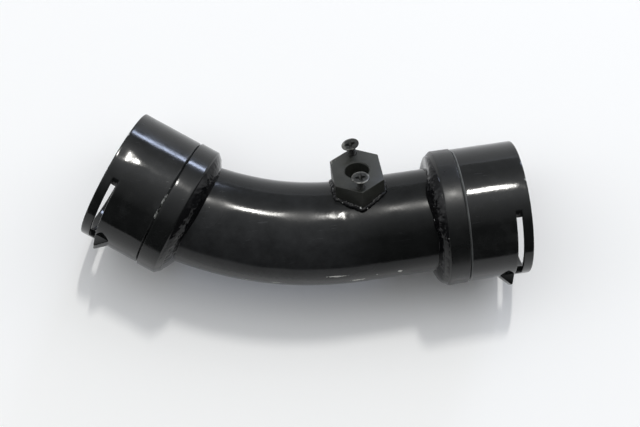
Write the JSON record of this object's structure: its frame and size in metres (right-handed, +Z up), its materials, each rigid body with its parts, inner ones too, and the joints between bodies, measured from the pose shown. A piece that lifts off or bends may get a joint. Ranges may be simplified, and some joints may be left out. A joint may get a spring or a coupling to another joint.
{
  "type": "turbo pipe",
  "caption": "Bent black steel turbo pipe with a quick-connect socket at each end, clip slots and ramp lugs, and a hexagonal sensor block held by weld beads.",
  "frame": {"origin": "centre of the right socket, at the stop face of the bushing inside it", "axes": "+X out of the right socket along its axis; the bend lies in the XY plane and the left leg turns towards +Y; +Z up as the pipe lies"},
  "size_m": [0.2408, 0.1222, 0.0778],
  "materials": {
    "black_enamel": "gloss",
    "black_rubber": "matte",
    "screw_steel": "black oxide"
  },
  "bodies": {
    "root": {"main_tube": "black_enamel", "left_collar": "black_enamel", "right_collar": "black_enamel", "left_sleeve": "black_enamel", "right_sleeve": "black_enamel", "left_clip_lug": "black_enamel", "right_clip_lug": "black_enamel", "sensor_boss": "black_enamel", "left_weld": "black_enamel", "right_weld": "black_enamel", "boss_weld": "black_enamel", "left_seal": "black_rubber", "right_seal": "black_rubber", "sensor_screws": "screw_steel"}
  },
  "joints": []
}
